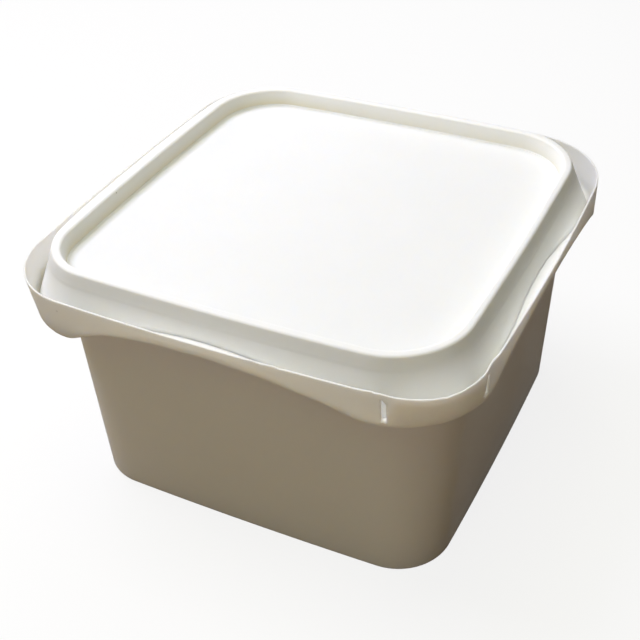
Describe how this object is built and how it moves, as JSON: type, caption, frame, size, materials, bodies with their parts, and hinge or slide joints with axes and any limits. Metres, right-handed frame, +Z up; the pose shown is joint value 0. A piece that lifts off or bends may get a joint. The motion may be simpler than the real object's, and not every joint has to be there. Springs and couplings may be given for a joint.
{
  "type": "hummus tub",
  "caption": "Square food tub with rounded corners, a press-on lid with a sunken panel, and a waved tamper wall around the lid with a tear-off corner tab",
  "frame": {"origin": "centre of the tub's base, on the surface it stands on", "axes": "+Z up, from the base to the lid; +X and -Y run from the centre towards the two sides that meet at the corner with the tear-off tab"},
  "size_m": [0.176, 0.176, 0.102],
  "materials": {
    "tub_plastic": "semi-gloss off-white injection-moulded polypropylene",
    "lid_plastic": "semi-gloss off-white injection-moulded polypropylene"
  },
  "bodies": {
    "root": {"tub": "tub_plastic", "lid": "lid_plastic"}
  },
  "joints": []
}
